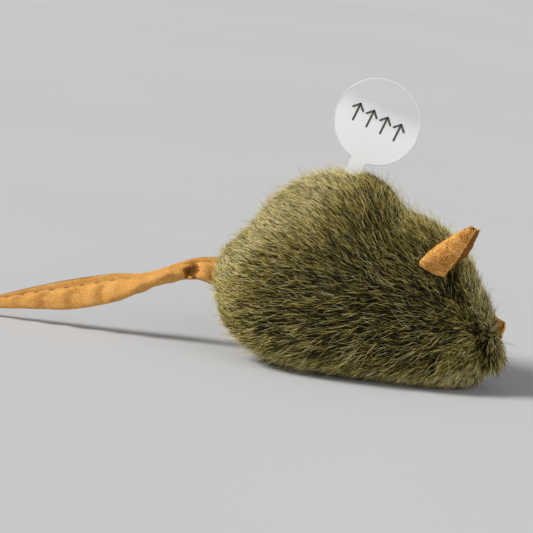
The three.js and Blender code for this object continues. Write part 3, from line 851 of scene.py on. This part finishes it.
TAIL_HIDDEN = 4.5 * MM  # length of the root that is sewn in under the fur
TAIL_LAYER = 0.8 * MM  # thickness of the suede
TAIL_ROWS = 190
TAIL_COLUMNS = 81
TAIL_FOLD = TAIL_COLUMNS // 2  # the column that runs along the fold
TAIL_STITCH_LEVEL = 0.74  # how far up from the fold the seam runs
TAIL_STITCH_PITCH = 4.9 * MM
TAIL_STITCH_DIP = 0.12 * MM  # how deep the seam is drawn in at each stitch
TAIL_STITCH_STEP = 0.55 * MM  # a stitch is three of these long
TAIL_STITCH_RADII = (0.08 * MM, 0.17 * MM, 0.17 * MM, 0.08 * MM)
TAIL_HOLLOW = (-53.6 * MM, -1.0 * MM, 2.5 * MM)  # place along X, height from the middle, radius
TAIL_HOLLOW_DEPTH = 3.3 * MM
TAIL_SHADED = 0.32  # where the painted shade in the hollow starts, as a share of the hollow's depth
TAIL_DARKEST_SHADE = 0.62  # where the painted shade turns darkest
# How much the limp suede rises over the CAD tail's middle, and spreads, by place along X in millimetres.
TAIL_RISE = [(-127, 0), (-64, 0.1), (-58, 0.7), (-52, 1.0), (-44, 0.4)]
TAIL_SPREAD = [(-127, 1), (-70, 1.0), (-62, 1.15), (-56, 1.4), (-51, 1.3), (-44, 1.5)]
# Half of the tube's puffed width and its lean in degrees, by place along X in millimetres.
TAIL_PUFF = [
    (-127, 0.5), (-117, 0.8), (-100, 1.3), (-84, 1.7),
    (-72, 1.9), (-63, 2.0), (-54, 2.9), (-44, 1.8),
]
TAIL_LEAN = [
    (-127, -10), (-108, -7), (-92, -2), (-80, 6), (-71, 34),
    (-64, 50), (-58, 36), (-50, 8), (-44, 4),
]


def by_place(table, places):
    """Values of a table of (millimetres, value) at places in metres, smoothed."""
    knots = np.array(table, float)
    fine = np.linspace(knots[0, 0], knots[-1, 0], 200)
    values = np.interp(fine, knots[:, 0], knots[:, 1])
    for _ in range(6):
        values = np.convolve(np.pad(values, 4, mode="edge"), np.ones(9) / 9, mode="valid")
    return np.interp(places / MM, fine, values)


def tail_line(places):
    """Height of the middle and depth of the CAD tail at places along X."""
    mesh = nodes["tail"].data
    tree = BVHTree.FromPolygons(
        [v.co.copy() for v in mesh.vertices], [list(p.vertices) for p in mesh.polygons]
    )
    low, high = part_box("tail")
    inside = np.clip(places, low.x + 0.3 * MM, high.x - 0.3 * MM)
    far = 0.1  # well outside the tail
    tops, bottoms = [], []
    for x in inside:
        tops.append(tree.ray_cast(Vector((x, 0, far)), Vector((0, 0, -1)))[0].z)
        bottoms.append(tree.ray_cast(Vector((x, 0, -far)), Vector((0, 0, 1)))[0].z)
    tops, bottoms = np.array(tops), np.array(bottoms)
    return (tops + bottoms) / 2, tops - bottoms


def tail_section(levels):
    """Height and half width of the folded strip, for levels from 0 at the fold to 1 at the edges."""
    knots = [0, 0.03, 0.07, 0.14, 0.24, 0.42, 0.6, 0.7, 0.76, 0.86, 1]
    heights = [-0.5, -0.495, -0.475, -0.42, -0.33, -0.13, 0.08, 0.2, 0.265, 0.36, 0.5]
    widths = [0, 0.34, 0.6, 0.85, 0.98, 1.0, 0.8, 0.48, 0.3, 0.38, 0.44]
    return np.interp(levels, knots, heights), np.interp(levels, knots, widths)


def smooth_rows(values):
    """Evens out each row of a grid of values, and keeps the row's ends."""
    for _ in range(3):
        middle = (values[:, :-2] + 2 * values[:, 1:-1] + values[:, 2:]) / 4
        values = np.concatenate([values[:, :1], middle, values[:, -1:]], axis=1)
    return values


def tail_ridges(places, signed, tall):
    """Soft ridges that the puffed suede buckles into, broad and fine, a different set on each side."""
    x = places[:, None] / MM
    level = np.abs(signed)
    sag = smoothstep(0.70, 0.55, level) * smoothstep(0.0, 0.12, level)
    slant = 0.9 * level[None, :] * np.where(signed < 0, 1, -1)[None, :]
    ridges = 0.74 * np.sin(2 * math.pi * (x / 8.6 + 0.3 * slant + 0.21) + 0.8 * np.sin(x / 6))
    ridges += 0.22 * np.sin(2 * math.pi * (x / 4.6 + 0.5 * slant + 0.4) + 1.3 * np.sin(x / 9))
    ridges *= np.clip(tall / (8 * MM), 0.25, 1)[:, None]
    return ridges * sag[None, :] * MM


def tail_surface():
    """The grid of the folded strip's middle points, from tip to root and round from edge to edge.

    Returns it with each column's level, minus on the near side, and how far each point has caved in.
    """
    low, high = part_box("tail")
    places = np.linspace(low.x + 0.2 * MM, high.x + TAIL_HIDDEN, TAIL_ROWS)
    middle, depth = tail_line(places)
    middle = middle + by_place(TAIL_RISE, places) * MM
    depth = depth * by_place(TAIL_SPREAD, places)
    lean = np.radians(by_place(TAIL_LEAN, places))
    puff = by_place(TAIL_PUFF, places) * MM
    narrowing = np.clip((places[-1] - places) / TAIL_HIDDEN, 0.6, 1)
    depth = (depth - TAIL_LAYER) * narrowing
    # A leaning strip's puffed width takes up part of the depth, and the rest sets its own height.
    tall = (depth - 2 * puff * np.abs(np.sin(lean))) / np.cos(lean)
    tall = np.maximum(tall, 0.5 * depth)
    signed = np.linspace(-1, 1, TAIL_COLUMNS)
    side = np.sign(signed)[None, :]
    height, width = tail_section(np.abs(signed))
    up = tall[:, None] * height[None, :]
    out = side * puff[:, None] * width[None, :]
    out += side * tail_ridges(places, signed, tall)
    # The seam dips at each stitch.
    along_seam = np.exp(-(((np.abs(signed) - TAIL_STITCH_LEVEL) / 0.05) ** 2))[None, :]
    dip = 0.5 + 0.5 * np.cos(2 * math.pi * places / TAIL_STITCH_PITCH)[:, None] ** 3
    out -= side * TAIL_STITCH_DIP * along_seam * dip
    up = smooth_rows(up)
    out = smooth_rows(out)
    # Near the root the near layer has caved in.
    hollow_x, hollow_z, radius = TAIL_HOLLOW
    distance = np.hypot((places[:, None] - hollow_x) / 1.15, up - hollow_z) / radius
    cave = np.exp(-(distance**2.4)) * (signed < 0)[None, :]
    out = out + cave * TAIL_HOLLOW_DEPTH
    turned_out = out * np.cos(lean)[:, None] + up * np.sin(lean)[:, None]
    turned_up = up * np.cos(lean)[:, None] - out * np.sin(lean)[:, None]
    along = np.broadcast_to(places[:, None], up.shape)
    grid = np.stack([along, turned_out, middle[:, None] + turned_up], axis=2)
    return grid, signed, cave


def tail_pieces(suede, shaded, inside, thread):
    """The folded tail, with painted shade in its hollow, and its topstitching."""
    grid, signed, cave = tail_surface()
    points, faces = thick_sheet(grid, half_thickness(grid.shape[:2], TAIL_LAYER))
    made = mesh_object("folded_tail", points, faces, [suede, shaded, inside])
    # Painted shade: the hollow's suede takes darker copies of the suede, the deeper it caves in, with a
    # ragged edge.
    ragged = cave.ravel() + 0.08 * drift(grid.reshape(-1, 3), 0.8 * MM, 81)
    deep = np.concatenate([ragged, ragged])
    for polygon in made.data.polygons:
        least = min(deep[v] for v in polygon.vertices)
        polygon.material_index = int(least > TAIL_SHADED) + int(least > TAIL_DARKEST_SHADE)
    sew_to_body(made)
    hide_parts("tail")
    made = mesh_object("tail_stitches", *seam_stitches(grid, signed), [thread])
    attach(made, "tail")


def seam_stitches(grid, signed):
    """Short stitches along the seam on both faces of the tail, sunk to half their depth."""
    points, faces = [], []
    normals = grid_normals(grid)
    first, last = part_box("tail")[0].x + 9 * MM, -70 * MM
    row = TAIL_ROWS // 3  # where the strip stands upright, so its faces look to the sides
    for side in (-1, 1):
        column = int(np.argmin(np.abs(signed - side * TAIL_STITCH_LEVEL)))
        line = grid[:, column] - normals[:, column] * TAIL_LAYER / 2
        if (line[row, 1] - grid[row, TAIL_FOLD, 1]) * side < 0:
            line = grid[:, column] + normals[:, column] * TAIL_LAYER / 2
        for place in np.arange(first, last, TAIL_STITCH_PITCH):
            along = place + TAIL_STITCH_STEP * np.array([-1.5, -0.5, 0.5, 1.5])
            spine = np.stack([np.interp(along, line[:, 0], line[:, axis]) for axis in range(3)], axis=1)
            tube(points, faces, spine, TAIL_STITCH_RADII, 6)
    return points, faces


def tube(points, faces, spine, radii, corners):
    """Adds a closed round tube along a spine to a list of points and faces."""
    start = len(points)
    heading = unit(np.gradient(spine, axis=0))
    side = unit(np.cross(heading, [0.0, 0.0, 1.0]))
    across = np.cross(heading, side)
    for centre, s, a, radius in zip(spine, side, across, radii):
        for corner in range(corners):
            angle = 2 * math.pi * corner / corners
            points.append(centre + radius * (s * math.cos(angle) + a * math.sin(angle)))
    tube_faces(faces, start, len(spine), corners)


def tube_faces(faces, start, rings, corners):
    """Adds the sides and the two ends of a tube whose rings of points start at start."""
    for ring in range(rings - 1):
        for corner in range(corners):
            a = start + ring * corners + corner
            b = start + ring * corners + (corner + 1) % corners
            faces.append((a, b, b + corners, a + corners))
    faces.append(tuple(start + corner for corner in range(corners))[::-1])
    faces.append(tuple(start + (rings - 1) * corners + corner for corner in range(corners)))


def sew_to_body(piece):
    """Bakes the piece's transform into its points."""
    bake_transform(piece)


# ---------------------------------------------------------------- the ears

EAR_THICKNESS = 1.0 * MM
EAR_ROWS = 48
EAR_COLUMNS = 45
EAR_HIDDEN = 0.12  # share of the ear's length that is sewn in
EAR_STEPS = (0, 0.2, 0.4, 0.6, 0.8, 1)  # shares of the ear's length from base to tip
FAR_WING = (1.0, 1.15, 1.32, 1.45, 1.5, 1.6)  # how much wider the far wing is than the near one
# Each ear bends from its base through a middle place to its tip, and its fold opens in a direction.
# The width of its near wing, the one on -Y, and half of the space between its wings are given at
# each step. All lengths here are in millimetres.
EARS = {
    "ear_right": {
        "line": [(25.4, -17.0, 38.8), (29.6, -21.4, 45.2), (36.6, -28, 53.4)],
        "opening": (0.75, 0.35, -0.52),
        "width": (9.6, 9.2, 8.0, 6.4, 4.4, 2.2),
        "gape": (1.2, 1.9, 2.3, 2.3, 1.9, 1.0),
    },
    "ear_left": {
        "line": [(25.5, 17.9, 34.5), (31, 23.9, 15.5), (44.0, 13.2, 16.4)],
        "opening": (-0.1, -0.35, -1.0),
        "width": (9.2, 9.2, 8.6, 7.8, 6.8, 5.6),
        "gape": (1.2, 1.5, 1.4, 1.2, 0.9, 0.6),
    },
}


def ear_surface(shape, seed):
    """The grid of middle points of an ear, from base to tip and from edge to edge."""
    start, bend, tip = (np.array(point) * MM for point in shape["line"])
    rng = np.random.default_rng(seed)
    ragged = rng.normal(scale=0.12, size=(2, EAR_ROWS))
    share = np.linspace(-1, 1, EAR_COLUMNS)
    level = np.abs(share)
    grid = np.zeros((EAR_ROWS, EAR_COLUMNS, 3))
    for i, t in enumerate(np.linspace(-EAR_HIDDEN, 1, EAR_ROWS)):
        centre = (1 - t) ** 2 * start + 2 * t * (1 - t) * bend + t * t * tip
        tangent = unit(2 * (1 - t) * (bend - start) + 2 * t * (tip - bend))
        side = unit(np.cross(tangent, shape["opening"]))
        facing = np.cross(side, tangent)
        near = np.interp(t, EAR_STEPS, shape["width"])
        wing = np.where(share > 0, near * np.interp(t, EAR_STEPS, FAR_WING), near)
        wing = wing + np.where(share > 0, ragged[0, i], ragged[1, i]) * level**6
        gape = np.interp(t, EAR_STEPS, shape["gape"]) * (1 + 0.25 * np.sin(7 * t + 2 * share))
        reach = wing * ((level**2 + 0.02) ** 0.5 - 0.02**0.5) - 0.5 * near
        # The near wing's edge rolls in a little and the far wing's edge rolls out.
        spread = gape * np.tanh(3.2 * level) * np.sign(share) * (1 - 0.3 * level)
        spread += 0.7 * smoothstep(0.6, 1, level)
        grid[i] = centre + (side * spread[:, None] + facing * reach[:, None]) * MM
    # The tip is cut unevenly.
    ends = unit(grid[-1] - grid[-2])
    cut = 0.35 * np.sin(np.linspace(0, 6, EAR_COLUMNS))
    cut += 0.2 * np.cos(np.linspace(0, 19, EAR_COLUMNS))
    grid[-1] += ends * cut[:, None] * MM
    return grid


def ear_pieces(suede, shaded, painted_lighter):
    """Both ears. The upright one's fold is painted with shade inside, and the flopped one is painted
    lighter, as painted light.
    """
    for number, (node, shape) in enumerate(EARS.items()):
        outside, inside = (suede, shaded) if node == "ear_right" else (painted_lighter, painted_lighter)
        grid = ear_surface(shape, SEED + 60 + number)
        points, faces = thick_sheet(grid, half_thickness(grid.shape[:2], EAR_THICKNESS))
        made = mesh_object(f"suede_{node}", points, faces, [outside, inside])
        # The sheet's second layer of points is the one inside the fold; on the upright ear it takes the
        # painted shade.
        for polygon in made.data.polygons:
            polygon.material_index = int(min(polygon.vertices) >= EAR_ROWS * EAR_COLUMNS)
        sew_to_body(made)
        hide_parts(node)


# ---------------------------------------------------------------- the pull tab

FILM = 0.25 * MM  # its thickness
TAB_TILT = math.radians(20)  # forwards from upright
TAB_AXIS = Vector((math.sin(TAB_TILT), 0, math.cos(TAB_TILT)))
TAB_ACROSS = Vector((TAB_AXIS.z, 0, -TAB_AXIS.x))
TAB_DISC_RADIUS = 13.3 * MM
RIM_OPENING = math.radians(12)  # half of the gap in the rim, where the strip joins the disc
RIM_STEPS = 120
RIM_CORNERS = 8
RIM_REACH = 0.2 * MM  # half of the rim's size in the film's plane
RIM_DEPTH = 0.17 * MM  # half of its size across the film
MARK_COUNT = 4
MARK_PITCH = 4.7 * MM
MARK_HEIGHT = 5.4 * MM
MARK_HEAD = 1.7 * MM  # half width of an arrow's head
MARK_STROKE = 0.66 * MM  # width of its lines
INK = 0.02 * MM  # thickness of the print on each face
INK_OVERLAP = 0.01 * MM  # how much more an arrow's head stands out than its shaft


def flat_stroke(points, faces, outline, half):
    """Adds a closed prism of a convex outline of Vectors in the film's plane, half deep on each side."""
    start = len(points)
    count = len(outline)
    for depth in (-half, half):
        points += [corner + Vector((0, depth, 0)) for corner in outline]
    faces.append(tuple(start + i for i in range(count)))
    faces.append(tuple(start + count + i for i in range(count))[::-1])
    for i in range(count):
        j = (i + 1) % count
        faces.append((start + i, start + count + i, start + count + j, start + j))


def bar(points, faces, start, end, width, half):
    """A straight stroke with round ends between two places in the film's plane."""
    heading = (end - start).normalized()
    side = Vector((heading.z, 0, -heading.x))
    outline = []
    steps = 8
    for centre, turn in ((end, 0), (start, math.pi)):
        for step in range(steps + 1):
            angle = turn + math.pi / 2 - math.pi * step / steps
            outline.append(centre + (heading * math.cos(angle) + side * math.sin(angle)) * width / 2)
    flat_stroke(points, faces, outline, half)


def tab_pieces():
    """The film's material, and the arrows and the rim on the CAD tab."""
    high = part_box("pull_tab")[1]
    middle = Vector((high.x - TAB_DISC_RADIUS, 0, high.z - TAB_DISC_RADIUS))
    nodes["pull_tab"].data.materials.clear()
    nodes["pull_tab"].data.materials.append(film_material(middle, TAB_AXIS, TAB_DISC_RADIUS))
    points, faces = [], []
    half = FILM / 2 + INK
    for number in range(MARK_COUNT):
        place = (number - (MARK_COUNT - 1) / 2) * MARK_PITCH
        foot = middle + TAB_ACROSS * place - TAB_AXIS * MARK_HEIGHT / 2
        head = foot + TAB_AXIS * MARK_HEIGHT
        bar(points, faces, foot, head, MARK_STROKE, half)
        for side in (-1, 1):
            barb = head + (TAB_ACROSS * side - TAB_AXIS) * MARK_HEAD
            bar(points, faces, head, barb, MARK_STROKE, half + INK_OVERLAP)
    mark = mesh_object("tab_mark", points, faces, [ink_material()], smooth=False)
    rim = mesh_object("tab_edge", *rim_of_disc(middle), [rim_material()])
    for made in (mark, rim):
        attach(made, "pull_tab")


def rim_of_disc(middle):
    """The rounded bead along the disc's cut edge, left open where the strip joins it."""
    points, faces = [], []
    start, end = RIM_OPENING - math.pi / 2, 1.5 * math.pi - RIM_OPENING
    for angle in np.linspace(start, end, RIM_STEPS + 1):
        away = TAB_ACROSS * math.cos(angle) + TAB_AXIS * math.sin(angle)
        for turn in np.arange(RIM_CORNERS) * 2 * math.pi / RIM_CORNERS:
            offset = Vector((0, RIM_DEPTH * math.sin(turn), 0))
            points.append(middle + away * (TAB_DISC_RADIUS + RIM_REACH * math.cos(turn)) + offset)
    tube_faces(faces, 0, RIM_STEPS + 1, RIM_CORNERS)
    return points, faces


# ---------------------------------------------------------------- what is inside

# Slot in the record, the material's name, its two colours, and its lowest and highest roughness.
MOULDED = [
    ("case_plastic", "case_plastic", (222, 219, 208), (212, 208, 196), 0.35, 0.5),
    ("board", "circuit_board", (40, 98, 52), (52, 116, 62), 0.3, 0.45),
    ("epoxy", "epoxy", (20, 20, 24), (30, 30, 34), 0.2, 0.4),
    ("ceramic_disc", "silvered_ceramic", (216, 212, 198), (200, 196, 182), 0.4, 0.6),
    ("red_wire", "red_insulation", (176, 40, 34), (156, 30, 26), 0.35, 0.5),
    ("black_wire", "black_insulation", (30, 30, 32), (40, 40, 42), 0.35, 0.5),
]
METALS = [
    ("steel", "nickel_plated_steel", (196, 198, 202), (168, 170, 172), 0.2, 0.38),
    ("brass", "brass_sheet", (205, 168, 88), (184, 146, 70), 0.25, 0.42),
]


def inside_materials():
    """One finished material for each slot of the sound module."""
    made = {}
    for maker, rows in ((moulded_material, MOULDED), (metal_material, METALS)):
        for slot, name, low, high, smoothest, roughest in rows:
            made[slot] = maker(name, colour(*low), colour(*high), smoothest, roughest)
    return made


def finish_module():
    """Gives the CAD solids of the sound module their materials."""
    materials = inside_materials()
    for row in frame["record"]["subparts"]:
        if row["material_slot"] in materials:
            mesh = nodes[row["node"]].data
            mesh.materials.clear()
            mesh.materials.append(materials[row["material_slot"]])


FILLING_GRAIN = 0.75 * MM  # size of the remeshed filling's faces
FILLING_LUMP = 0.9 * MM  # how deep its hollows are


def filling_pieces(material):
    """Loose fibre stuffing: the CAD filling, remeshed and drawn in by lumps."""
    for node in ("head_filling", "body_filling"):
        made = bpy.data.objects.new(f"{node}_fibre", nodes[node].data.copy())
        bpy.context.scene.collection.objects.link(made)
        remesh = made.modifiers.new("remesh", "REMESH")
        remesh.mode = "VOXEL"
        remesh.voxel_size = FILLING_GRAIN
        evaluated = made.evaluated_get(bpy.context.evaluated_depsgraph_get())
        shape = bpy.data.meshes.new_from_object(evaluated)
        made.modifiers.clear()
        made.data = shape
        points = np.array([v.co for v in shape.vertices])
        normals = np.array([v.normal for v in shape.vertices])
        coarse = np.clip(0.5 + 0.5 * drift(points, 3.5 * MM, 71), 0, 1)
        fine = np.clip(0.5 + 0.5 * drift(points, 1.2 * MM, 72), 0, 1)
        lumps = 0.7 * coarse + 0.3 * fine
        pressed = np.clip(cloth_relief(points) - 0.8 * MM, 0, None)
        points -= normals * (0.15 * MM + FILLING_LUMP * lumps + pressed)[:, None]
        shape.vertices.foreach_set("co", points.astype(np.float32).ravel())
        shape.polygons.foreach_set("use_smooth", np.ones(len(shape.polygons), dtype=bool))
        shape.materials.clear()
        shape.materials.append(material)
        shape.update()
        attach(made, "body")
        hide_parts(node)


# ---------------------------------------------------------------- make it

camera()
studio()
floor()

surface = backing_surface()
fibres = fur_materials()
backing_pieces(surface, backing_material())
pile_pieces(surface, fibres)
guard_hair_pieces(surface, fibres)
suede = suede_material("suede", (152, 90, 34), (214, 156, 82), (240, 196, 126))
# Shaded copies of the suede, as painted shade: inside the upright ear's fold and in the tail's hollow,
# darkest deep in the hollow.
suede_shaded = suede_material("suede_shaded", (88, 50, 18), (136, 84, 34), (172, 114, 54))
suede_painted_deep_shade = suede_material("suede_painted_deep_shade", (46, 34, 14), (84, 58, 24), (120, 80, 36))
coarse_nap = {"spread": 0.038, "relief": 0.5 * MM}
suede_ear = suede_material("suede_ear", (112, 60, 20), (226, 156, 74), (255, 206, 124), **coarse_nap)
# A lighter copy of the ear's suede, as painted light on the flopped ear, which lies in shade.
suede_painted_light = suede_material("suede_painted_lighter", (150, 84, 30), (255, 182, 90), (255, 222, 146), **coarse_nap)
tail_pieces(suede, suede_shaded, suede_painted_deep_shade, thread_material())
ear_pieces(suede_ear, suede_shaded, suede_painted_light)
tab_pieces()
finish_module()
filling_pieces(fibre_material())
